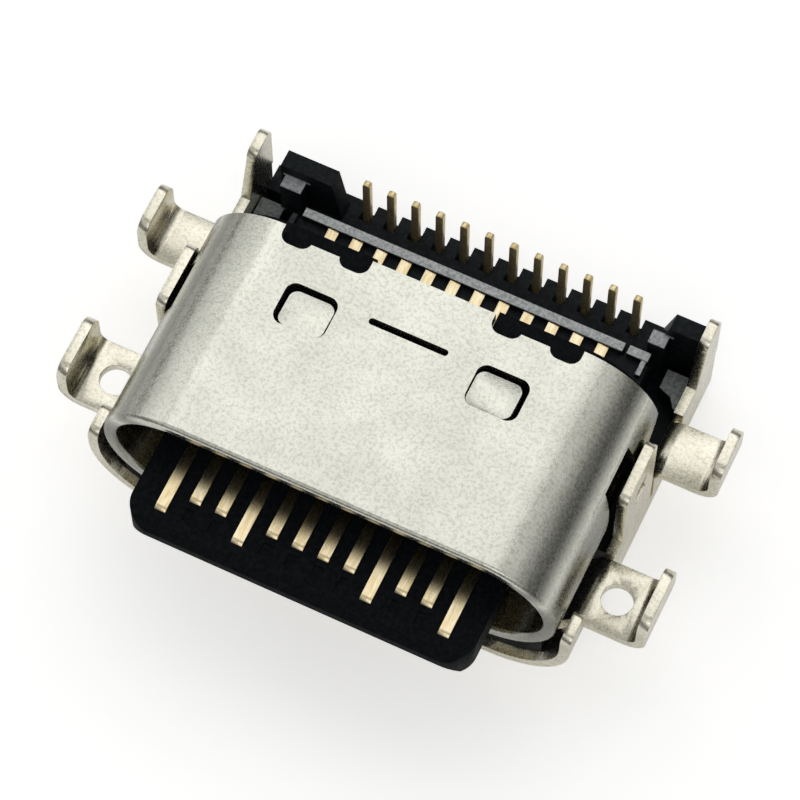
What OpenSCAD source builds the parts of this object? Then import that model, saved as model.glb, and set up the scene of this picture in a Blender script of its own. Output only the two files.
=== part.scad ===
// Mid-mount USB-C socket: a drawn front shell and a folded rear cover round a plastic tongue with
// twelve contacts on each side. The mouth faces -Y, the solder side +Z, and the origin is the
// middle of the mouth in the plane of the shell's front rim.

/* [Front shell] */
// Width of the mouth opening
mouth_w = 8.34; // [7.9:0.02:8.8]
// Height of the mouth opening
mouth_h = 2.56; // [2.4:0.02:2.8]
// Sheet thickness of the front shell
shell_wall = 0.27; // [0.2:0.01:0.32]
// Depth of the front shell along its top
shell_depth = 4.46; // [4.3:0.02:4.8]
// Rounding of the shell's front rim
rim_r = 0.09; // [0.03:0.01:0.1]
// Distance from the middle to each flap window
window_x = 1.36; // [1.1:0.02:1.6]
// Width of each flap window
window_w = 1.01; // [0.8:0.01:1.2]
// Length of each flap window along the depth
window_len = 0.85; // [0.7:0.01:0.9]
// Solid strip between a window and the shell's rear edge
window_land = 0.96; // [0.8:0.02:1.1]
// Gap that the punch leaves behind and outside each flap
flap_gap = 0.11; // [0.05:0.01:0.15]
// Angle by which each flap is pushed in
flap_angle = 4; // [2:0.5:8]
// Length of the slit between the windows
slit_len = 1.54; // [1:0.02:2]
// Width of the slit
slit_w = 0.13; // [0.08:0.01:0.2]

/* [Rear cover] */
// Sheet thickness of the rear cover
cover_t = 0.2; // [0.15:0.01:0.25]
// Gap between the shell's sides and the cover's front arms
side_gap = 0.11; // [0.06:0.01:0.3]
// Inside radius of the cover's front arms
arm_r = 1.4; // [1.1:0.02:1.6]
// How far the rear half of the cover is raised over the front half
rear_rise = 0.65; // [0.4:0.01:0.9]
// Distance from the rim's plane to the cover's rear edge
cover_depth = 6.8; // [6.5:0.02:7.2]
// Inside radius of the raised half's edges
edge_r = 0.15; // [0.1:0.01:0.25]
// Where the raised half's middle starts to step down
step_y = 4.07; // [3.95:0.01:4.1]
// Angle of that step
step_angle = 65; // [55:1:75]
// Distance from the middle to each relief slot
slot_x = 3; // [2.8:0.02:3.1]
// Width of the relief slots beside the step
slot_w = 0.43; // [0.3:0.01:0.5]
// Where the front arms end and the raised side legs start
arm_end_y = 2.15; // [2.1:0.01:2.25]
// Distance of the four dimples from the middle
dimple_x = 2.35; // [2:0.01:2.6]
// Radius of the dimples
dimple_r = 0.33; // [0.25:0.01:0.4]

/* [Solder tabs] */
// How far the board's seat lies below the middle of the mouth
board_drop = 1.24; // [1.1:0.01:1.4]
// Width over the outer faces of the tabs
tab_span = 11.7; // [11.3:0.02:12.2]
// Inside radius of the bend in each tab
tab_r = 0.22; // [0.12:0.01:0.3]
// Height of the tab ends above the board's seat
tab_rise = 0.94; // [0.7:0.01:1.2]
// Where the front tabs start
front_tab_y = 0.83; // [0.8:0.01:0.9]
// Width of the front tabs
front_tab_w = 1.32; // [1.2:0.01:1.35]
// Where the rear tabs start
rear_tab_y = 4.05; // [4:0.01:4.15]
// Width of the rear tabs
rear_tab_w = 1.1; // [0.9:0.01:1.2]
// Diameter of the hole in each front tab
tab_hole_d = 0.6; // [0.4:0.02:0.8]

/* [Tongue] */
// Width of the tongue
tongue_w = 6.69; // [6.5:0.01:6.9]
// Thickness of the tongue
tongue_t = 0.7; // [0.66:0.01:0.8]
// How far the tongue stands out of the shell
tongue_out = 1.4; // [1.1:0.02:1.6]
// Rounding of the tongue's front corners
tongue_corner_r = 0.5; // [0.2:0.05:0.7]
// Where the block that carries the tongue starts
block_y = 3.6; // [3.52:0.01:3.7]
// Running clearance between mouldings and sheet metal
fit = 0.02; // [0.01:0.01:0.05]
// Thickness of the ground plate inside the tongue
plate_t = 0.14; // [0.1:0.01:0.16]

/* [Contacts] */
// Contacts in each row
contact_count = 12; // [12]
// Spacing of the contacts
pitch = 0.5; // [0.48:0.005:0.51]
// Width of each contact
contact_w = 0.22; // [0.18:0.01:0.26]
// Thickness of the contact strip
contact_t = 0.12; // [0.08:0.01:0.14]
// How far the contacts stand out of the tongue's faces
contact_proud = 0.04; // [0.01:0.01:0.06]
// Distance from the tongue's nose to the long contacts
long_setback = 0.32; // [0.26:0.01:0.4]
// Distance from the tongue's nose to the short contacts
short_setback = 0.7; // [0.6:0.01:0.9]
// Sideways shift of the through-hole pins from their contacts
pin_shift = 0.28; // [0.2:0.01:0.3]
// Width of each through-hole pin
pin_w = 0.15; // [0.12:0.01:0.22]
// Distance from the rim's plane to the row of pins
pin_y = 6.83; // [6.75:0.01:7]
// Height of the pins above the board's seat
pin_rise = 0.61; // [0.4:0.01:0.9]

/* [Rear housing] */
// Thickness of the plastic between the shell and the cover
slab_t = 0.55; // [0.45:0.01:0.6]
// Setback of that plastic from the mouth's rim
slab_y = 0.16; // [0.05:0.01:0.3]
// Drop of the pin ledge below the board's seat
ledge_drop = 0.61; // [0.5:0.01:0.65]
// Plastic behind the row of pins
rear_land = 0.22; // [0.15:0.01:0.3]
// Where the comb ridge between pins and tails starts
ridge_y = 5.98; // [5.9:0.01:6.05]
// Thickness of the ridge
ridge_t = 0.18; // [0.12:0.01:0.25]
// Height of the rear corner blocks above the board's seat
post_rise = 0.59; // [0.4:0.01:0.8]

/* [Hidden] */
$fn = 64;
square_fold = 90;
// Cutting shapes start or end this far out, well clear of every piece
clear_of_all = 7;
// Pieces of one body reach this far into each other
lap = 0.1;

// Shell: a stadium section, with its arcs centred on the same points inside and out
mouth_r = mouth_h / 2;
shell_r = mouth_r + shell_wall;
shell_arc_x = mouth_w / 2 - mouth_r;
shell_half_w = mouth_w / 2 + shell_wall;
window_y = shell_depth - window_land - window_len;
window_corner_r = 0.2;
flap_line = 0.03;
slit_y = window_y + window_len - 0.115;
// Rear edge of the shell: two notches and a stub on each side, and sides that slant forward
notch_floor = shell_depth - 0.34;
stub_end = shell_depth - 0.18;
rear_notches = [[1.2, 1.78], [2.33, 2.92]];
notch_r = 0.2;
stub_x = [1.5, 2.6];
slant_top_z = 0.3;
slant_mid_z = -0.1;
side_end = shell_depth - 0.57;
// Cut-out in each side, which the cover's latch plate covers
cutout_y = 2.2;
cutout_rear = side_end - 0.44;
cutout_low = -0.9;
cutout_high = 0.74;
cutout_slant = [0.26, 0.84];

// Cover: front arms follow the shell, the rear half is a deeper channel
tray_in = -(shell_r + slab_t);
tray_out = tray_in - cover_t;
arm_in = shell_half_w + side_gap;
arm_arc_x = arm_in - arm_r;
arm_arc_z = tray_in + arm_r;
raised_out = tray_out - rear_rise;
raised_in = raised_out + cover_t;
wall_in = shell_half_w + 0.01;
wall_out = wall_in + cover_t;
arm_front = -0.03;
lip_end = 0.65;
lip_rise = 0.5;
arm_root_angle = 50;
// Tabs: seat level, bends, and the angle at which the front tabs leave the arms
board_z = -board_drop;
tab_under = board_z - cover_t;
root_r = 0.1;
rear_root_r = 0.15;
tab_bend_x = tab_span / 2 - tab_r - cover_t;
tab_tip = board_z + tab_rise;
tab_end_r = 0.3;
leave_angle = acos((arm_arc_z - tab_under + root_r) / (arm_r + cover_t + root_r));
leave_x = arm_arc_x + (arm_r + cover_t + root_r) * sin(leave_angle);
// Side walls: heights of the neck between the tabs, the latch plate and the rear ears
neck_z = board_z - 0.06;
slit_floor = tab_under - 0.31;
latch_y = 2.55;
latch_end = 3.9;
latch_top = 0.45;
latch_gap_floor = tab_under - 0.75;
latch_window_y = [3.05, 3.5];
latch_window_z = [-0.65, -0.1];
ear_y = 5.85;
ear_tip_y = 6.2;
ear_top = board_z + 1.14;
ear_end = cover_depth + 0.05;
ear_bevel = 0.25;
neck_y = arm_end_y - 0.15;
corner_r = 0.2;
// Shoulders beside the relief slots, and how far the cover's two halves lap
shoulder_w = 0.2;
shoulder_y = arm_end_y + 0.51;
cover_lap = 0.02;
// Teeth along the rear edge, each given by where it starts and ends and by how deep it is cut back
rear_cuts = [[0.75, 1.2, 0.42], [1.1, 2.1, 0.24], [2, 2.6, 0.42]];
// Step between the two halves: a convex bend, a steep run and a concave bend
step_out_r = 0.26;
step_in_r = 0.33;
step_rise_of_bends = (step_out_r + cover_t + step_in_r) * (1 - cos(step_angle));
step_run = (rear_rise - step_rise_of_bends) / sin(step_angle);
step_len = (step_out_r + cover_t + step_in_r) * sin(step_angle) + step_run * cos(step_angle);
tray_end = step_y - step_len;
dimple_front_y = 0.65;
dimple_rear_y = 2.92;
dimple_depth = 0.1;

// Tongue, block and ground plate
tongue_half_t = tongue_t / 2;
nose_bevel = 0.15;
nose_flat = 0.2;
block_end = shell_depth + 0.19;
skirt_y = side_end + 0.03;
block_skirt_w = 7.9;
step_half_t = 0.6;
step_half_w = tongue_w / 2 + 0.1;
step_len_y = 0.65;
plate_front = -tongue_out + 0.45;
plate_end = block_y + 0.25;
plate_neck_w = tongue_w - 1.1;
latch_notch_y = 0.75;
latch_notch_len = 0.9;
latch_notch_depth = 0.3;

// Contacts: short ones fill the places listed here, counted from one side
short_places = [2, 3, 5, 6, 7, 8, 10, 11];
contact_bend_r = 0.08;
tip_r = 0.04;
pin_tip_r = 0.06;
// Shallow mould pockets in the tongue, ahead of the short contacts
pocket_half_w = contact_w / 2 - 0.03;
pocket_depth = 0.03;
pocket_y = [long_setback - tongue_out + 0.06, short_setback - tongue_out - 0.08];
tail_drop_y = block_end - 0.3;
pin_drop_y = side_end + 0.2;
tail_under = board_z - contact_t;
pin_level = board_z - ledge_drop - 0.45;
jog_y = 5;
jog_len = 0.6;

// Housing levels
ledge_z = board_z - ledge_drop;
housing_end = pin_y + rear_land;
housing_half_w = wall_in - fit;
slab_half_w = 4.15;
ridge_top = board_z + 0.04;
ridge_parts = [[-3.41, 3.11], [3.2, 3.62]];
pin_slot_w = pin_w + 0.09;
post_top = board_z + post_rise;
post_t = 0.35;
post_rear = cover_depth + 0.05;
// Each corner block: outer end, inner end at its top and inner end at its foot
corner_x = [[-4.1, -3.05, -2.83], [housing_half_w, 3.8, 3.45]];
// Deck under the tails, the pits beside it, and the low and high pads in and behind the pits
deck_half_w = 3.65;
pit_floor = raised_in + fit + 0.33;
pad_x = 3.94;
pad_y = [5.6, 6.3];
high_pads = [[-4, -3.58], [3.49, 3.82]];
high_pad_len = 0.25;
high_pad_z = board_z + 0.29;

// Bodies are outlines drawn in a plane and extruded between two positions on the third axis
module along_x(from, to) translate([from, 0, 0]) rotate([90, 0, 90]) linear_extrude(to - from) children();
module along_y(from, to) translate([0, to, 0]) rotate([90, 0, 0]) linear_extrude(to - from) children();
module along_z(from, to) translate([0, 0, from]) linear_extrude(to - from) children();

module both_sides() {
    children();
    mirror([1, 0, 0]) children();
}

// Box between two opposite corners
module block(low, high) translate(low) cube(high - low);

// Flat rectangle between two opposite corners, with rounded corners
module rounded(low, high, r) {
    translate([low[0] + r, low[1]]) square([high[0] - low[0] - 2 * r, high[1] - low[1]]);
    translate([low[0], low[1] + r]) square([high[0] - low[0], high[1] - low[1] - 2 * r]);
    for (x = [low[0] + r, high[0] - r], y = [low[1] + r, high[1] - r]) translate([x, y]) circle(r);
}

// Flat stadium: a rectangle with half-round ends
module stadium(half_straight, r) {
    translate([-half_straight, -r]) square([2 * half_straight, 2 * r]);
    for (side = [-1, 1]) translate([side * half_straight, 0]) circle(r);
}

// Part of a flat ring between two angles less than 180 degrees apart
module ring_part(r_in, r_out, from, to) {
    reach = 2 * r_out / cos((to - from) / 4);
    middle = (from + to) / 2;
    intersection() {
        difference() {
            circle(r_out);
            circle(r_in);
        }
        polygon(concat([[0, 0]], [for (a = [from, middle, to]) reach * [cos(a), sin(a)]]));
    }
}

// Folded strip seen on its edge. Each move is a straight run, a turn and the turn's inside radius.
// The strip lies to the left of the path that it follows.
module folded_strip(t, moves, i = 0) {
    if (i < len(moves)) {
        run = moves[i][0];
        turn = moves[i][1];
        r = moves[i][2];
        if (run > 0) square([run, t]);
        translate([run, 0]) {
            if (turn > 0) translate([0, t + r]) {
                ring_part(r, t + r, -90, turn - 90);
                rotate(turn) translate([0, -t - r]) folded_strip(t, moves, i + 1);
            }
            if (turn < 0) translate([0, -r]) {
                ring_part(r, t + r, 90 + turn, 90);
                rotate(turn) translate([0, r]) folded_strip(t, moves, i + 1);
            }
            if (turn == 0) folded_strip(t, moves, i + 1);
        }
    }
}

// ---- Front shell ----

// Wall of the shell: distance from the arc's centre against depth, with a rounded front rim
module shell_section() {
    translate([mouth_r + rim_r, 0]) square([shell_wall - 2 * rim_r, shell_depth]);
    translate([mouth_r, rim_r]) square([shell_wall, shell_depth - rim_r]);
    for (r = [mouth_r + rim_r, shell_r - rim_r]) translate([r, rim_r]) circle(rim_r);
}

module shell_tube() {
    both_sides()
        translate([shell_arc_x, 0, 0]) rotate([-90, 0, 0]) rotate([0, 0, -90])
            rotate_extrude(angle = 180) shell_section();
    for (flip = [0, 1])
        mirror([0, 0, flip]) along_x(-shell_arc_x, shell_arc_x) mirror([1, -1]) shell_section();
}

module shell_rear_cut() {
    far = shell_depth + 1;
    low = -shell_r - lap;
    along_x(-clear_of_all, clear_of_all)
        polygon([
            [far, slant_top_z], [shell_depth, slant_top_z],
            [side_end, slant_mid_z], [side_end, low], [far, low]
        ]);
    along_z(0, clear_of_all) both_sides() {
        for (notch = rear_notches) rounded([notch[0], notch_floor], [notch[1], far], notch_r);
        translate([stub_x[0], stub_end]) square([stub_x[1] - stub_x[0], 1]);
    }
}

module side_cutout() {
    along_x(shell_arc_x, clear_of_all)
        polygon([
            [cutout_y, cutout_low], [cutout_y, cutout_high - cutout_slant[1]],
            [cutout_y + cutout_slant[0], cutout_high], [cutout_rear, cutout_high], [cutout_rear, cutout_low]
        ]);
}

module flap() {
    size = [window_w - flap_line - flap_gap, window_len - flap_gap];
    translate([0, window_y, shell_r]) rotate([-flap_angle, 0, 0]) along_z(-shell_wall, 0)
        translate([window_x + flap_line, 0])
            rounded([0, 0], size, window_corner_r - flap_line);
}

module front_shell() {
    window_end = [window_x + window_w, window_y + window_len];
    color("#d8d7cd") {
        difference() {
            shell_tube();
            shell_rear_cut();
            both_sides() side_cutout();
            along_z(0, clear_of_all) {
                both_sides() rounded([window_x, window_y], window_end, window_corner_r);
                translate([0, slit_y]) stadium((slit_len - slit_w) / 2, slit_w / 2);
            }
        }
        both_sides() flap();
    }
}

// ---- Rear cover ----

// Section of the front half, up to where its arms part into lips and tabs
module tray_profile() {
    both_sides() translate([0, tray_out]) folded_strip(cover_t, [[arm_arc_x, arm_root_angle, arm_r]]);
}

// Section that carries on from there
module arm_profile(moves) {
    both_sides()
        translate([arm_arc_x, arm_arc_z]) rotate(arm_root_angle) translate([0, -arm_r - cover_t])
            folded_strip(cover_t, moves);
}

module tray_outline() {
    translate([-clear_of_all, arm_front]) square([2 * clear_of_all, arm_end_y + cover_lap - arm_front]);
    translate([-slot_x, arm_front]) square([2 * slot_x, tray_end + cover_lap - arm_front]);
    both_sides() translate([slot_x - lap, arm_front]) square([shoulder_w + lap, shoulder_y - arm_front]);
}

module tray() {
    intersection() {
        along_y(arm_front, tray_end + cover_lap) tray_profile();
        along_z(-clear_of_all, 0) tray_outline();
    }
}

// Section of a lip: the end of the arm's arc and a straight upright
module lip_profile() {
    out_r = arm_r + cover_t;
    reach = 2 * out_r;
    root = reach * [sin(arm_root_angle), -cos(arm_root_angle)];
    translate([arm_arc_x, arm_arc_z]) intersection() {
        difference() {
            union() {
                circle(out_r);
                square([out_r, lip_rise]);
            }
            circle(arm_r);
            square([arm_r, lip_rise + lap]);
        }
        polygon([[0, 0], root, [reach, lip_rise], [0, lip_rise]]);
    }
}

// The front lips stand beside the mouth, ahead of the front tabs
module lips() {
    intersection() {
        along_y(arm_front, lip_end) both_sides() lip_profile();
        along_x(-clear_of_all, clear_of_all)
            rounded([arm_front, tray_out - corner_r - lap], [lip_end, arm_arc_z + lip_rise], corner_r);
    }
}

module front_tabs() {
    moves = [
        [0, leave_angle - arm_root_angle, arm_r],
        [0, -leave_angle, root_r],
        [tab_bend_x - leave_x, square_fold, tab_r],
        [tab_tip - tab_under - tab_r - cover_t, 0, 0]
    ];
    end_y = front_tab_y + front_tab_w;
    difference() {
        intersection() {
            along_y(front_tab_y, end_y) arm_profile(moves);
            along_x(-clear_of_all, clear_of_all)
                rounded([front_tab_y, tray_out - tab_end_r], [end_y, tab_tip], tab_end_r);
        }
        both_sides()
            translate([(leave_x + tab_bend_x) / 2, front_tab_y + front_tab_w / 2, tab_under - lap])
                cylinder(h = cover_t + 2 * lap, d = tab_hole_d);
    }
}

module rear_tabs() {
    root_len = 0.5;
    moves = [
        [root_len, -square_fold, rear_root_r],
        [tab_bend_x - wall_out - rear_root_r, square_fold, tab_r],
        [tab_tip - tab_under - tab_r - cover_t, 0, 0]
    ];
    end_y = rear_tab_y + rear_tab_w;
    intersection() {
        along_y(rear_tab_y, end_y)
            both_sides()
                translate([wall_out, tab_under - rear_root_r - root_len]) rotate(square_fold)
                    folded_strip(cover_t, moves);
        along_x(-clear_of_all, clear_of_all)
            rounded([rear_tab_y, tray_out - tab_end_r], [end_y, tab_tip], tab_end_r);
    }
}

// Raised rear half, seen from above
module raised_outline() {
    difference() {
        translate([-clear_of_all, arm_end_y]) square([2 * clear_of_all, cover_depth - arm_end_y]);
        translate([-slot_x - cover_lap, 0]) square([2 * (slot_x + cover_lap), step_y]);
        both_sides() {
            rounded([slot_x, 0], [slot_x + slot_w, step_y + 0.08], slot_w / 2 - 0.01);
            for (cut = rear_cuts) translate([cut[0], cover_depth - cut[2]]) square([cut[1] - cut[0], 1]);
        }
    }
}

module raised_half() {
    moves = [[wall_out - edge_r - cover_t, square_fold, edge_r], [0.3, 0, 0]];
    intersection() {
        along_y(arm_end_y, cover_depth) both_sides() translate([0, raised_out]) folded_strip(cover_t, moves);
        along_z(-clear_of_all, 0) raised_outline();
    }
}

module step() {
    moves = [[0, step_angle, step_out_r], [step_run, -step_angle, step_in_r]];
    along_x(-slot_x, slot_x) translate([step_y, raised_out]) mirror([1, 0]) folded_strip(cover_t, moves);
    block([-slot_x, step_y, raised_out], [slot_x, step_y + lap, raised_in]);
}

// Side wall of the raised half, with its latch plate and ear, seen from the side
module wall_outline() {
    low = raised_out + edge_r + cover_t;
    high = latch_top - low;
    difference() {
        union() {
            translate([arm_end_y, low]) square([cover_depth - arm_end_y, slit_floor - low]);
            translate([neck_y, slit_floor]) square([cover_depth - neck_y, neck_z - slit_floor]);
            rounded([latch_y, slit_floor], [latch_end, latch_top], corner_r);
            polygon([
                [ear_y, neck_z - lap], [ear_tip_y, ear_top - ear_bevel],
                [ear_end, ear_top - ear_bevel], [ear_end, neck_z - lap]
            ]);
            rounded([ear_tip_y, neck_z], [ear_end, ear_top], corner_r);
        }
        // Gaps that free the rear tab and the ear
        translate([latch_end, latch_gap_floor]) square([rear_tab_y - latch_end, high]);
        translate([rear_tab_y, tab_under - rear_root_r]) square([rear_tab_w, high]);
        translate([rear_tab_y + rear_tab_w, slit_floor]) square([rear_tab_y - latch_end, high]);
        // Window in the latch plate
        translate([latch_window_y[0], latch_window_z[0]])
            square([latch_window_y[1] - latch_window_y[0], latch_window_z[1] - latch_window_z[0]]);
    }
}

module rear_cover() {
    color("#cfcdc2")
        difference() {
            union() {
                tray();
                lips();
                front_tabs();
                rear_tabs();
                raised_half();
                step();
                both_sides() along_x(wall_in, wall_out) wall_outline();
                // Inside of the rear pair of dimples
                both_sides()
                    translate([dimple_x, dimple_rear_y, tray_in - cover_lap])
                        cylinder(h = dimple_depth + cover_lap, r = dimple_r - 0.03);
            }
            both_sides() {
                translate([dimple_x, dimple_rear_y, tray_out - lap])
                    cylinder(h = dimple_depth + lap, r = dimple_r);
                translate([dimple_x, dimple_front_y, tray_out - lap])
                    cylinder(h = cover_t + 2 * lap, r = dimple_r);
            }
        }
}

// ---- Tongue, block and ground plate ----

module tongue_plan(half_w, front, end, corner) {
    translate([-half_w + corner, front]) square([2 * (half_w - corner), end - front]);
    translate([-half_w, front + corner]) square([2 * half_w, end - front - corner]);
    for (side = [-1, 1]) translate([side * (half_w - corner), front + corner]) circle(corner);
}

// The nose narrows evenly on both faces
module nose_section(end) {
    front = -tongue_out;
    polygon([
        [front, -nose_flat / 2], [front, nose_flat / 2],
        [front + nose_bevel, tongue_half_t], [end, tongue_half_t],
        [end, -tongue_half_t], [front + nose_bevel, -tongue_half_t]
    ]);
}

module latch_notches() {
    both_sides()
        translate([tongue_w / 2 - latch_notch_depth, latch_notch_y]) square([1, latch_notch_len]);
}

module tongue() {
    intersection() {
        along_z(-1, 1) difference() {
            tongue_plan(tongue_w / 2, -tongue_out, block_y + lap, tongue_corner_r);
            latch_notches();
        }
        along_x(-clear_of_all, clear_of_all) nose_section(block_y + lap);
    }
    along_y(block_y - step_len_y, block_y + lap)
        rounded([-step_half_w, -step_half_t], [step_half_w, step_half_t], 0.3);
}

module shell_block() {
    difference() {
        union() {
            along_y(block_y, block_end) stadium(shell_arc_x, mouth_r - fit);
            block([-block_skirt_w / 2, skirt_y, -shell_r], [block_skirt_w / 2, block_end, 0]);
        }
        // Lowered middle of the rear edge
        block([-1.2, shell_depth - 0.2, 0.5], [1.2, block_end + 1, 2]);
    }
}

module tongue_body() {
    color("#1c2126")
        difference() {
            union() {
                tongue();
                shell_block();
            }
            ground_plate_shape();
            for (i = [1:contact_count]) {
                tail_contact_shape(i);
                pin_contact_shape(i);
            }
            for (place = short_places, face = [0, 1])
                mirror([0, 0, face])
                    block(
                        [contact_x(place) - pocket_half_w, pocket_y[0], tongue_half_t - pocket_depth],
                        [contact_x(place) + pocket_half_w, pocket_y[1], tongue_half_t + lap]
                    );
        }
}

module ground_plate_shape() {
    along_z(-plate_t / 2, plate_t / 2) difference() {
        union() {
            tongue_plan(plate_neck_w / 2, plate_front, plate_end, tongue_corner_r);
            translate([-tongue_w / 2, latch_notch_y - 0.4]) square([tongue_w, latch_notch_len + 1.2]);
        }
        latch_notches();
    }
}

module ground_plate() color("#b9b8b2") ground_plate_shape();

// ---- Contacts ----

function contact_x(i) = (i - (contact_count + 1) / 2) * pitch;
function is_short(i) = len([for (place = short_places) if (place == i) 1]) > 0;
function tip_y(i) = (is_short(i) ? short_setback : long_setback) - tongue_out;

// Front end of a contact, drawn forwards from a point behind its tip and rolled into the tongue
module contact_tip_strip(tip, start, turn) {
    translate([start, 0]) mirror([1, 0])
        folded_strip(contact_t, [[start - tip - tip_r - contact_t, turn, tip_r]]);
}

// Upper row: along the tongue, down through the block and back to a flat tail
module tail_contact_shape(i) {
    start = 0.5;
    drop = tail_drop_y - contact_bend_r;
    level = tongue_half_t + contact_proud - contact_t;
    fall = level - tail_under - 2 * contact_bend_r - contact_t;
    tail = ridge_y - 0.01 - (tail_drop_y + contact_t + contact_bend_r);
    moves = [
        [drop - start, -square_fold, contact_bend_r],
        [fall, square_fold, contact_bend_r],
        [tail, 0, 0]
    ];
    x = contact_x(i);
    along_x(x - contact_w / 2, x + contact_w / 2) translate([0, level]) {
        translate([start, 0]) folded_strip(contact_t, moves);
        contact_tip_strip(tip_y(i), start, -square_fold);
    }
}

// Lower row: along the tongue, down, sideways to its pin's place and up through the ledge
module pin_contact_shape(i) {
    start = 0.5;
    drop = pin_drop_y - contact_bend_r;
    level = -tongue_half_t - contact_proud;
    fall = level - pin_level - 2 * contact_bend_r - contact_t;
    back = jog_y - (pin_drop_y + contact_t + contact_bend_r);
    moves = [
        [drop - start, -square_fold, contact_bend_r],
        [fall, square_fold, contact_bend_r],
        [back, 0, 0]
    ];
    x = contact_x(i);
    pin_x = x + pin_shift;
    pin_start = jog_y + jog_len;
    foot = pin_y + contact_t / 2 - contact_bend_r - contact_t - pin_start;
    rise = board_z + pin_rise - pin_level - contact_bend_r - contact_t;
    along_x(x - contact_w / 2, x + contact_w / 2) translate([0, level]) {
        translate([start, 0]) folded_strip(contact_t, moves);
        contact_tip_strip(tip_y(i), start, square_fold);
    }
    along_z(pin_level, pin_level + contact_t)
        polygon([
            [x - contact_w / 2, jog_y], [x + contact_w / 2, jog_y],
            [pin_x + pin_w / 2, pin_start], [pin_x - pin_w / 2, pin_start]
        ]);
    intersection() {
        along_x(pin_x - pin_w / 2, pin_x + pin_w / 2)
            translate([pin_start, pin_level])
                folded_strip(contact_t, [[foot, square_fold, contact_bend_r], [rise, 0, 0]]);
        // The coined pin tip is rounded
        along_y(pin_start, pin_y + contact_t)
            rounded([pin_x - pin_w / 2, pin_level - lap], [pin_x + pin_w / 2, board_z + pin_rise], pin_tip_r);
    }
}

module tail_contact(i) color("#d9c28a") tail_contact_shape(i);
module pin_contact(i) color("#b98d4f") pin_contact_shape(i);

// ---- Rear housing ----

// Section of the plastic between the shell and the cover's front half
module slab_profile() {
    difference() {
        intersection() {
            union() {
                translate([-arm_arc_x, tray_in + fit]) square([2 * arm_arc_x, 1]);
                both_sides() translate([arm_arc_x, arm_arc_z]) circle(arm_r - fit);
            }
            translate([-slab_half_w, -5]) square([2 * slab_half_w, 4.2]);
        }
        stadium(shell_arc_x, shell_r);
    }
}

// Section of the plastic inside the raised half, up to a given level
module channel_profile(top) {
    low = raised_in + fit;
    intersection() {
        rounded([-housing_half_w, low], [housing_half_w, top + 2 * edge_r], edge_r);
        translate([-housing_half_w, low]) square([2 * housing_half_w, top - low]);
    }
}

module housing_front() {
    leg_front = arm_end_y + 0.2;
    // Slab under the shell, and its flat end under the block
    along_y(slab_y, skirt_y) slab_profile();
    block([-slab_half_w, skirt_y, tray_in + fit], [slab_half_w, block_end, -shell_r]);
    // Fillers inside the raised legs
    both_sides() {
        intersection() {
            along_y(leg_front, block_end) channel_profile(-shell_r);
            block([slot_x + slot_w / 2, 0, -5], [5, block_end, 0]);
        }
        block(
            [slot_x + fit, arm_end_y + 0.6, raised_in + fit],
            [slot_x + slot_w / 2 + lap, block_end, -shell_r]
        );
    }
}

// Pit between the deck and the side wall, round a low pad with one corner cut off
module pit_outline() {
    difference() {
        translate([deck_half_w, block_end])
            square([housing_half_w + lap - deck_half_w, post_rear - post_t - block_end]);
        polygon([
            [pad_x, pad_y[0] + 0.3], [pad_x, pad_y[1]], [housing_half_w + lap, pad_y[1]],
            [housing_half_w + lap, pad_y[0]], [pad_x + 0.4, pad_y[0]], [pad_x + 0.26, pad_y[0] + 0.2]
        ]);
    }
}

module housing_rear() {
    low = ledge_z - lap;
    // Body behind the step, with the pin ledge on top and a pit on each side
    difference() {
        along_y(step_y + fit, housing_end) channel_profile(ledge_z);
        along_z(pit_floor, 0) both_sides() pit_outline();
    }
    // Deck under the tails
    block([-deck_half_w, block_end, low], [deck_half_w, ridge_y, tail_under]);
    both_sides() block([deck_half_w - 0.15, ridge_y - 0.3, low], [deck_half_w - 0.05, ridge_y, board_z]);
    // Comb ridge, broken near one end
    for (part = ridge_parts) block([part[0], ridge_y, low], [part[1], ridge_y + ridge_t, ridge_top]);
}

// Rear corner blocks with sloped inner ends, and the small high pads in front of them
module corner_blocks() {
    low = ledge_z - lap;
    face_y = post_rear - post_t;
    along_y(face_y, post_rear) {
        for (x = corner_x) polygon([[x[0], low], [x[0], post_top], [x[1], post_top], [x[2], low]]);
    }
    for (x = high_pads) block([x[0], face_y - high_pad_len, low], [x[1], face_y + lap, high_pad_z]);
}

module rear_housing() {
    color("#15191d")
        difference() {
            union() {
                housing_front();
                housing_rear();
                corner_blocks();
            }
            for (i = [1:contact_count]) {
                pin_contact_shape(i);
                // Open slot round each pin
                translate([contact_x(i) + pin_shift, 0, 0])
                    block(
                        [-pin_slot_w / 2, pin_y - 0.17, pin_level],
                        [pin_slot_w / 2, housing_end + 1, ledge_z + 1]
                    );
            }
            // Pockets over the cover's dimples
            both_sides()
                translate([dimple_x, dimple_rear_y, tray_in - 1])
                    cylinder(h = 1 + dimple_depth + fit, r = dimple_r);
        }
}

front_shell();
rear_cover();
tongue_body();
rear_housing();
ground_plate();
for (i = [1:contact_count]) {
    tail_contact(i);
    pin_contact(i);
}
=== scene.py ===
"""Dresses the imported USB-C socket: satin nickel sheet, moulded black plastic and gold contacts.

The socket lies with its board side up on a plain pale floor, seen from above its mouth.
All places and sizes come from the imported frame, in metres.
"""
import math

import bpy
from mathutils import Matrix, Vector


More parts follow.
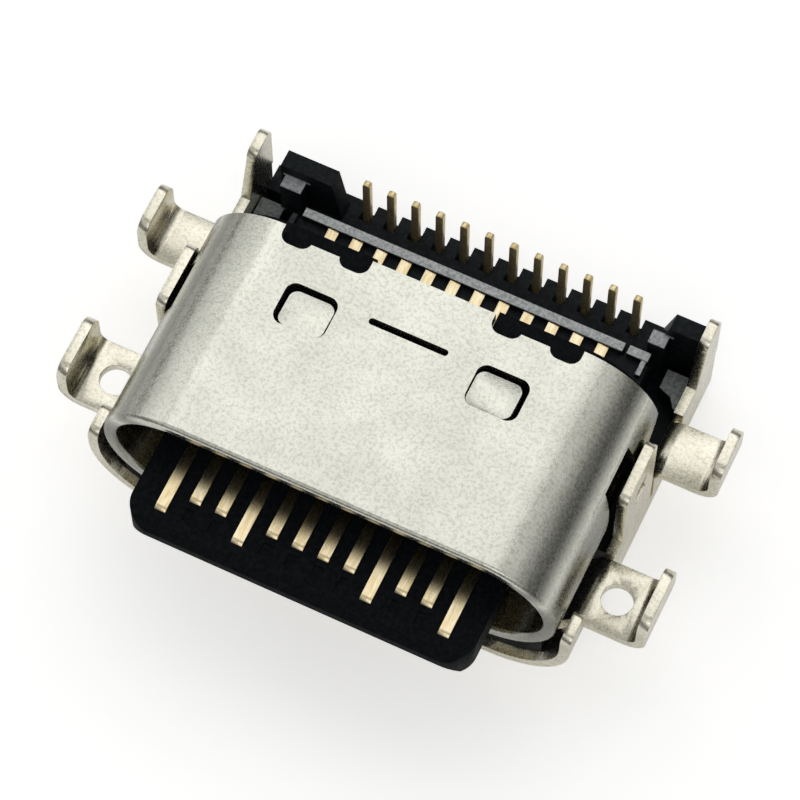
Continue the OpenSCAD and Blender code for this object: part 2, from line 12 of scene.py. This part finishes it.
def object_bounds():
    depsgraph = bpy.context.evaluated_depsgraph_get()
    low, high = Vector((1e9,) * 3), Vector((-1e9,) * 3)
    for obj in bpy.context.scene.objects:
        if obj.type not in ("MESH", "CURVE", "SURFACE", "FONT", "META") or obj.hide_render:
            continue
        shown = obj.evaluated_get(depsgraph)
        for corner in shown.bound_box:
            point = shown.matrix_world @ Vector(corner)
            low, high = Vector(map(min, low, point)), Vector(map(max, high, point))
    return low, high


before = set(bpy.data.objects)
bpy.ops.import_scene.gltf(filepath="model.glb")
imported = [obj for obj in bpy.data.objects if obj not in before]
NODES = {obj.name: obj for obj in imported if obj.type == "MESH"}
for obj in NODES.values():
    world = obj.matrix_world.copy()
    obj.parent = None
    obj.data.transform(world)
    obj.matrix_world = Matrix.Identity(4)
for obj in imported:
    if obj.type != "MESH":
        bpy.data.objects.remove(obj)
cad_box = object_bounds()

MM = 0.001
SCENE = bpy.context.scene

# Viewing direction, as angles round and above the object, and distance from its middle
CAMERA_AZIMUTH = math.radians(25.4)
CAMERA_ELEVATION = math.radians(65.7)
CAMERA_DISTANCE = 70.5 * MM
# Part of the picture's width that the object takes
CAMERA_FILL = 0.86
SENSOR_WIDTH = 36.0
# Rounds in which the camera's aim settles on the middle of the outline
AIM_ROUNDS = 4

# Brightness of the room against the sine of the height above the horizon, and its faint warmth
ROOM = [(0.04, 0.3), (0.12, 0.16), (0.42, 0.15), (0.6, 0.36), (0.75, 0.66), (0.9, 0.44)]
ROOM_TINT = (1.0, 0.995, 0.98)

# Each lamp's name, place, width and length in millimetres, and power in watts
LAMPS = [
    ("overhead", (-28, 112, 175), (190, 180), 0.067),
    ("front", (60, -120, 190), (120, 120), 0.03),
    ("left", (-190, 60, 120), (90, 150), 0.025),
]

FLOOR_HALF_WIDTH = 0.6
FLOOR_TONES = [(0.3, (0.93, 0.93, 0.93, 1)), (0.7, (0.96, 0.96, 0.96, 1))]
FLOOR_GLOW = 0.5
# Share of the floor's glow that reflections see
FLOOR_MIRRORED = 0.35
# Keeps the floor clear of the faces that rest on it
FLOOR_GAP = 0.01 * MM

# Edges steeper than this are rounded
BEVEL_ANGLE = math.radians(28)
FLAT_ANGLE = math.radians(0.5)
WELD_REACH = 0.0005 * MM


def linear(hex_colour):
    """Linear RGBA of a colour written as sRGB hex."""
    parts = [int(hex_colour[i : i + 2], 16) / 255 for i in (1, 3, 5)]
    return [c / 12.92 if c <= 0.04045 else ((c + 0.055) / 1.055) ** 2.4 for c in parts] + [1.0]


def fill_ramp(node, stops):
    """Writes (position, colour) pairs into a colour ramp node."""
    elements = node.color_ramp.elements
    while len(elements) < len(stops):
        elements.new(0.5)
    for element, (position, colour) in zip(elements, stops):
        element.position = position
        element.color = colour


# ---- Materials ----


class Nodes:
    """Short names for building one material's node tree."""

    def __init__(self, name):
        self.material = bpy.data.materials.new(name)
        self.material.use_nodes = True
        self.tree = self.material.node_tree
        self.shader = self.tree.nodes["Principled BSDF"]
        place = self.tree.nodes.new("ShaderNodeTexCoord")
        mapping = self.tree.nodes.new("ShaderNodeMapping")
        mapping.inputs["Scale"].default_value = (1 / MM, 1 / MM, 1 / MM)
        self.link(place.outputs["Object"], mapping.inputs["Vector"])
        self.millimetres = mapping.outputs["Vector"]
        split = self.tree.nodes.new("ShaderNodeSeparateXYZ")
        self.link(self.millimetres, split.inputs["Vector"])
        self.axes = split.outputs

    def link(self, output, socket):
        self.tree.links.new(output, socket)

    def noise(self, scale, detail=4.0, roughness=0.6, stretch=(1, 1, 1)):
        """Noise with about this many features per millimetre."""
        vector = self.millimetres
        if stretch != (1, 1, 1):
            mapping = self.tree.nodes.new("ShaderNodeMapping")
            mapping.inputs["Scale"].default_value = stretch
            self.link(vector, mapping.inputs["Vector"])
            vector = mapping.outputs["Vector"]
        node = self.tree.nodes.new("ShaderNodeTexNoise")
        node.inputs["Scale"].default_value = scale
        node.inputs["Detail"].default_value = detail
        node.inputs["Roughness"].default_value = roughness
        self.link(vector, node.inputs["Vector"])
        return node.outputs["Fac"]

    def ramp(self, value, stops):
        """Colours along a value, as (position, colour) pairs."""
        node = self.tree.nodes.new("ShaderNodeValToRGB")
        fill_ramp(node, stops)
        self.link(value, node.inputs["Fac"])
        return node.outputs["Color"]

    def spread(self, value, low, high, from_low=0.3, from_high=0.7):
        """A value's middle range mapped to low to high."""
        node = self.tree.nodes.new("ShaderNodeMapRange")
        node.inputs["From Min"].default_value = from_low
        node.inputs["From Max"].default_value = from_high
        node.inputs["To Min"].default_value = low
        node.inputs["To Max"].default_value = high
        self.link(value, node.inputs["Value"])
        return node.outputs["Result"]

    def math(self, operation, first, second):
        """Result of a sum on two values, where the second may be a plain number."""
        node = self.tree.nodes.new("ShaderNodeMath")
        node.operation = operation
        self.link(first, node.inputs[0])
        if isinstance(second, (int, float)):
            node.inputs[1].default_value = second
        else:
            self.link(second, node.inputs[1])
        return node.outputs["Value"]

    def along(self, axis, span, stops):
        """Colours along one axis of the object, as (millimetres, colour) pairs in a span."""
        low, high = span
        place = self.spread(self.axes[axis], 0.0, 1.0, low, high)
        return self.ramp(place, [((mm - low) / (high - low), colour) for mm, colour in stops])

    def inside(self, low, high, soft=0.02):
        """One inside a box given in millimetres, falling to zero over its soft edge."""
        mask = None
        for axis, start, end in zip("XYZ", low, high):
            for edge, way in ((start, 1), (end, -1)):
                step = self.spread(
                    self.axes[axis], 0.0, 1.0, edge - way * soft, edge + way * soft
                )
                mask = step if mask is None else self.math("MULTIPLY", mask, step)
        return mask

    def mix(self, first, second):
        node = self.tree.nodes.new("ShaderNodeMix")
        node.data_type = "RGBA"
        self.link(first, node.inputs["A"])
        if isinstance(second, list):
            node.inputs["B"].default_value = second
        else:
            self.link(second, node.inputs["B"])
        return node

    def cover(self, below, colour, mask):
        """A colour or a plain RGBA list laid over another colour where a mask is one."""
        node = self.mix(below, colour)
        self.link(mask, node.inputs["Factor"])
        return node.outputs["Result"]

    def multiply(self, first, second):
        node = self.mix(first, second)
        node.blend_type = "MULTIPLY"
        node.inputs["Factor"].default_value = 1.0
        return node.outputs["Result"]

    def bump(self, height, strength, depth_mm, below=None):
        node = self.tree.nodes.new("ShaderNodeBump")
        node.inputs["Strength"].default_value = strength
        node.inputs["Distance"].default_value = depth_mm * MM
        self.link(height, node.inputs["Height"])
        if below:
            self.link(below, node.inputs["Normal"])
        return node.outputs["Normal"]

    def set(self, **values):
        for name, value in values.items():
            self.shader.inputs[name.replace("_", " ")].default_value = value

    def feed(self, **sources):
        """Links sources to the shader's sockets of the same names."""
        for name, source in sources.items():
            self.link(source, self.shader.inputs[name.replace("_", " ")])


def sheet_metal(name, light, dark, roughness, grain, reflection_bands=None, shade_boxes=()):
    """Satin nickel plate: a fine blasted grain, faint clouds and small differences in gloss.

    The bands are painted reflections: darker and lighter streaks along the bends, by height. The
    boxes hold painted shade: darker tones round the side cut-outs and at the inside of the
    mouth's ends.
    """
    nodes = Nodes(name)
    nodes.set(Metallic=1.0)
    clouds = nodes.noise(0.9, detail=3.0)
    specks = nodes.noise(16.0, detail=3.0, roughness=0.7)
    colour = nodes.ramp(clouds, [(0.35, linear(dark)), (0.65, linear(light))])
    shade = nodes.ramp(specks, [(0.36, (0.74, 0.74, 0.72, 1)), (0.56, (1, 1, 1, 1))])
    colour = nodes.multiply(colour, shade)
    # Painted reflections: the colour darkens in bands along the bends, by height
    if reflection_bands:
        colour = nodes.multiply(colour, nodes.along("Z", SHELL_SPAN, reflection_bands))
    # Painted shade: darker tones in boxes round the side cut-outs and inside the mouth's ends
    for low, high, shade_tone in shade_boxes:
        colour = nodes.cover(colour, linear(shade_tone), nodes.inside(low, high))
    fine = nodes.bump(nodes.noise(24.0, detail=3.0, roughness=0.65), grain, 0.006)
    nodes.feed(
        Base_Color=colour,
        Roughness=nodes.spread(specks, roughness - 0.05, roughness + 0.07),
        Normal=nodes.bump(nodes.noise(7.0, detail=2.0), grain * 0.6, 0.008, fine),
    )
    return nodes.material


def moulded_plastic(name, colour, speck, sheen, highlights=()):
    """Glass-filled black plastic: dark, slightly uneven in tone, with a fine moulded texture.

    The boxes given hold painted highlights: grey, lit tones on the tops of the housing's ridge
    and pads.
    """
    nodes = Nodes(name)
    specks = nodes.noise(11.0, detail=5.0, roughness=0.7)
    tone = nodes.ramp(specks, [(0.42, linear(colour)), (0.74, linear(speck))])
    highlight_grain = nodes.noise(14.0, detail=4.0, roughness=0.75)
    # Painted highlights: grey, lit tones in boxes on the tops of the housing
    for low, high, (dark, light) in highlights:
        highlight = nodes.ramp(highlight_grain, [(0.36, linear(dark)), (0.62, linear(light))])
        tone = nodes.cover(tone, highlight, nodes.inside(low, high))
    nodes.set(Specular_IOR_Level=sheen)
    nodes.feed(
        Base_Color=tone,
        Roughness=nodes.spread(nodes.noise(5.0), 0.42, 0.58),
        Normal=nodes.bump(nodes.noise(20.0, detail=3.0), 0.35, 0.006),
    )
    return nodes.material


def gold_plate(name, light, dark, roughness, mouth_shade=None, metallic=1.0):
    """Gold plate over stamped strip: rolled lines along it and a little tarnish.

    Painted shade, where given, is the share of the colour kept by place from the mouth to the
    back.
    """
    nodes = Nodes(name)
    nodes.set(Metallic=metallic)
    lines = nodes.noise(9.0, detail=3.0, stretch=(3.0, 0.35, 3.0))
    colour = nodes.ramp(lines, [(0.3, linear(dark)), (0.65, linear(light))])
    # Painted shade: the gold darkens inside the mouth
    if mouth_shade:
        stops = [(mm, (share, share * 0.97, share * 0.9, 1)) for mm, share in mouth_shade]
        colour = nodes.multiply(colour, nodes.along("Y", CONTACT_SPAN, stops))
    nodes.feed(
        Base_Color=colour,
        Roughness=nodes.spread(lines, roughness + 0.06, roughness - 0.04),
        Normal=nodes.bump(lines, 0.25, 0.004),
    )
    return nodes.material


def paint(node_name, material):
    for slot in NODES[node_name].material_slots:
        slot.material = material


def soften(node_name, width_mm):
    """Merges a CAD node's flat faces and rounds its sharp edges, as modifiers on the node."""
    node = NODES[node_name]
    weld = node.modifiers.new("weld", "WELD")
    weld.merge_threshold = WELD_REACH
    flat = node.modifiers.new("flat", "DECIMATE")
    flat.decimate_type = "DISSOLVE"
    flat.angle_limit = FLAT_ANGLE
    edge = node.modifiers.new("edge", "BEVEL")
    edge.width = width_mm * MM
    edge.segments = 2
    edge.limit_method = "ANGLE"
    edge.angle_limit = BEVEL_ANGLE
    edge.harden_normals = True
    even = node.modifiers.new("even", "WEIGHTED_NORMAL")
    even.mode = "FACE_AREA"
    even.weight = 100
    even.keep_sharp = True
    for polygon in node.data.polygons:
        polygon.use_smooth = True


# ---- Stage, light and camera ----


def build_world():
    """Room light by height: bright overhead, dim round the middle, pale at the horizon."""
    world = bpy.data.worlds.new("studio")
    SCENE.world = world
    world.use_nodes = True
    tree = world.node_tree
    place = tree.nodes.new("ShaderNodeTexCoord")
    split = tree.nodes.new("ShaderNodeSeparateXYZ")
    ramp = tree.nodes.new("ShaderNodeValToRGB")
    fill_ramp(ramp, [(height, (*(level * t for t in ROOM_TINT), 1)) for height, level in ROOM])
    tree.links.new(place.outputs["Generated"], split.inputs["Vector"])
    tree.links.new(split.outputs["Z"], ramp.inputs["Fac"])
    tree.links.new(ramp.outputs["Color"], tree.nodes["Background"].inputs["Color"])


def build_floor():
    """Pale table, kept white in the picture by its own glow, under a soft shadow.

    Reflections see a part of that glow.
    """
    size = FLOOR_HALF_WIDTH
    z = cad_box[0][2] - FLOOR_GAP
    mesh = bpy.data.meshes.new("floor")
    corners = [(-size, -size, z), (size, -size, z), (size, size, z), (-size, size, z)]
    mesh.from_pydata(corners, [], [(0, 1, 2, 3)])
    floor = bpy.data.objects.new("floor", mesh)
    SCENE.collection.objects.link(floor)
    nodes = Nodes("pale_floor")
    nodes.set(Roughness=0.8, Emission_Color=(1, 1, 1, 1))
    path = nodes.tree.nodes.new("ShaderNodeLightPath").outputs
    mirrored = nodes.math("MULTIPLY", path["Is Glossy Ray"], FLOOR_MIRRORED)
    seen = nodes.math("MAXIMUM", path["Is Camera Ray"], mirrored)
    seen = nodes.math("MAXIMUM", seen, path["Is Transmission Ray"])
    nodes.feed(
        Base_Color=nodes.ramp(nodes.noise(0.05), FLOOR_TONES),
        Emission_Strength=nodes.math("MULTIPLY", seen, FLOOR_GLOW),
    )
    mesh.materials.append(nodes.material)


def middle():
    low, high = (Vector(corner) for corner in cad_box)
    return (low + high) / 2


def build_lights():
    """Square lamps aimed at the middle of the object."""
    for name, place_mm, size_mm, watts in LAMPS:
        lamp = bpy.data.lights.new(name, "AREA")
        lamp.shape = "RECTANGLE"
        lamp.size, lamp.size_y = (s * MM for s in size_mm)
        lamp.energy = watts
        light = bpy.data.objects.new(name, lamp)
        SCENE.collection.objects.link(light)
        light.location = Vector(place_mm) * MM
        light.rotation_euler = (light.location - middle()).to_track_quat("Z", "Y").to_euler()


def build_camera():
    az, el = CAMERA_AZIMUTH, CAMERA_ELEVATION
    back = Vector((math.sin(az) * math.cos(el), -math.cos(az) * math.cos(el), math.sin(el)))
    right = Vector((math.cos(az), math.sin(az), 0))
    up = back.cross(right)
    target = middle()
    points = [v.co for node in NODES.values() for v in node.data.vertices]
    # The object's outline is centred by moving the aim, and the lens follows from its width
    for _ in range(AIM_ROUNDS):
        seen = []
        for point in points:
            offset = point - target
            depth = CAMERA_DISTANCE - offset.dot(back)
            seen.append((offset.dot(right) / depth, offset.dot(up) / depth))
        xs, ys = zip(*seen)
        target += right * (max(xs) + min(xs)) / 2 * CAMERA_DISTANCE
        target += up * (max(ys) + min(ys)) / 2 * CAMERA_DISTANCE
    reach = max(max(xs) - min(xs), max(ys) - min(ys))
    camera = bpy.data.cameras.new("camera")
    camera.sensor_width = SENSOR_WIDTH
    camera.lens = SENSOR_WIDTH * CAMERA_FILL / reach
    camera.clip_start = 1 * MM
    camera.clip_end = 5.0
    holder = bpy.data.objects.new("camera", camera)
    SCENE.collection.objects.link(holder)
    turn = Matrix((right, up, back)).transposed().to_4x4()
    holder.matrix_world = Matrix.Translation(target + back * CAMERA_DISTANCE) @ turn
    SCENE.camera = holder


# ---- The socket ----


def both_sides(low, high, tone):
    """The same box and tone at the object's left and right."""
    (near, *low_rest), (far, *high_rest) = low, high
    return [((-far, *low_rest), (-near, *high_rest), tone), (low, high, tone)]


# Painted reflections on the shell's bends, as streaks by height: height and share of the colour
# kept
SHELL_SPAN = (-1.6, 1.6)
SHELL_REFLECTION_BANDS = [
    (-1.6, 0.8),
    (-0.9, 0.55),
    (0.3, 0.36),
    (0.62, 0.52),
    (0.82, 0.95),
    (1.0, 0.5),
    (1.12, 0.45),
    (1.3, 1.0),
]
# Painted shade round the shell's side cut-outs and on its inside at the mouth's ends, as low
# corner, high corner and tone
SHELL_SHADE_BOXES = [
    *both_sides((3.9, 2.0, -0.95), (4.4, 4.5, 0.28), "#3c3b35"),
    *both_sides((3.9, 2.0, 0.28), (4.22, 4.5, 0.78), "#3c3b35"),
    *both_sides((2.9, 0.15, -0.72), (4.2, 4.4, 0.72), "#8b897d"),
]

# Dark and light tones of the painted highlights on the plastic
RIDGE_HIGHLIGHT_TONES = ("#a9afb0", "#e4e8e8")
HIGH_PAD_HIGHLIGHT_TONES = ("#999da2", "#d3d6da")
LOW_PAD_HIGHLIGHT_TONES = ("#747b79", "#a5abaa")
LEFT_RIB_HIGHLIGHT_TONES = ("#2d3134", "#45494c")
# Painted highlights on the housing's ridge, ribs and pads, each as low corner, high corner and
# tones
HOUSING_HIGHLIGHTS = [
    ((-3.45, 5.95, -1.225), (3.65, 6.2, -1.15), RIDGE_HIGHLIGHT_TONES),
    ((-4.05, 6.2, -0.98), (-3.5, 6.52, -0.92), HIGH_PAD_HIGHLIGHT_TONES),
    ((3.4, 6.2, -0.98), (3.9, 6.52, -0.92), HIGH_PAD_HIGHLIGHT_TONES),
    ((3.5, 5.65, -1.26), (3.6, 6.0, -1.2), RIDGE_HIGHLIGHT_TONES),
    ((-3.6, 5.65, -1.26), (-3.5, 6.0, -1.2), LEFT_RIB_HIGHLIGHT_TONES),
    *both_sides((3.9, 5.5, -1.88), (4.5, 6.32, -1.82), LOW_PAD_HIGHLIGHT_TONES),
]

# Share of the gold's colour kept along a contact, by place from the mouth to the back: painted
# shade darkens it inside the mouth, with full colour in front of the mouth and behind it
CONTACT_SPAN = (-2.0, 8.0)
TONGUE_PAINTED_SHADE = [
    (-2.0, 1.0),
    (-0.4, 1.0),
    (-0.1, 0.45),
    (0.5, 0.2),
    (3.0, 0.3),
    (4.6, 0.9),
    (8.0, 1.0),
]


def dress_metal():
    # Painted reflections on the shell's bends, as bands of darker tone by height
    reflection_bands = [(height, (share, share, share, 1)) for height, share in SHELL_REFLECTION_BANDS]
    shell = sheet_metal("shell_metal_satin", "#f0f0e5", "#e2e3d7", 0.24, 0.35, reflection_bands, SHELL_SHADE_BOXES)
    cover = sheet_metal("cover_metal_satin", "#fffbea", "#ebe6d2", 0.24, 0.3)
    plate = sheet_metal("plate_metal_plain", "#c9c8c4", "#b5b4b0", 0.32, 0.2)
    paint("front_shell", shell)
    paint("rear_cover", cover)
    paint("ground_plate", plate)
    soften("front_shell", 0.025)
    soften("rear_cover", 0.03)
    soften("ground_plate", 0.02)


def dress_plastic():
    tongue = moulded_plastic("tongue_plastic_black", "#0e1113", "#1d2125", 0.03)
    housing = moulded_plastic("housing_plastic_black", "#15191c", "#2a2f34", 0.1, HOUSING_HIGHLIGHTS)
    paint("tongue_body", tongue)
    paint("rear_housing", housing)
    soften("tongue_body", 0.03)
    soften("rear_housing", 0.02)


def dress_contacts():
    tail_gold = gold_plate("tail_gold", "#fff6dc", "#eed6a2", 0.26, TONGUE_PAINTED_SHADE)
    pin_gold = gold_plate("pin_gold", "#fff2c4", "#dcbc78", 0.36, metallic=0.7)
    for name in NODES:
        if "tail_contact" in name:
            paint(name, tail_gold)
        elif "pin_contact" in name:
            paint(name, pin_gold)
        else:
            continue
        soften(name, 0.025)


dress_metal()
dress_plastic()
dress_contacts()
build_world()
build_floor()
build_lights()
build_camera()

SCENE.view_settings.view_transform = "Standard"
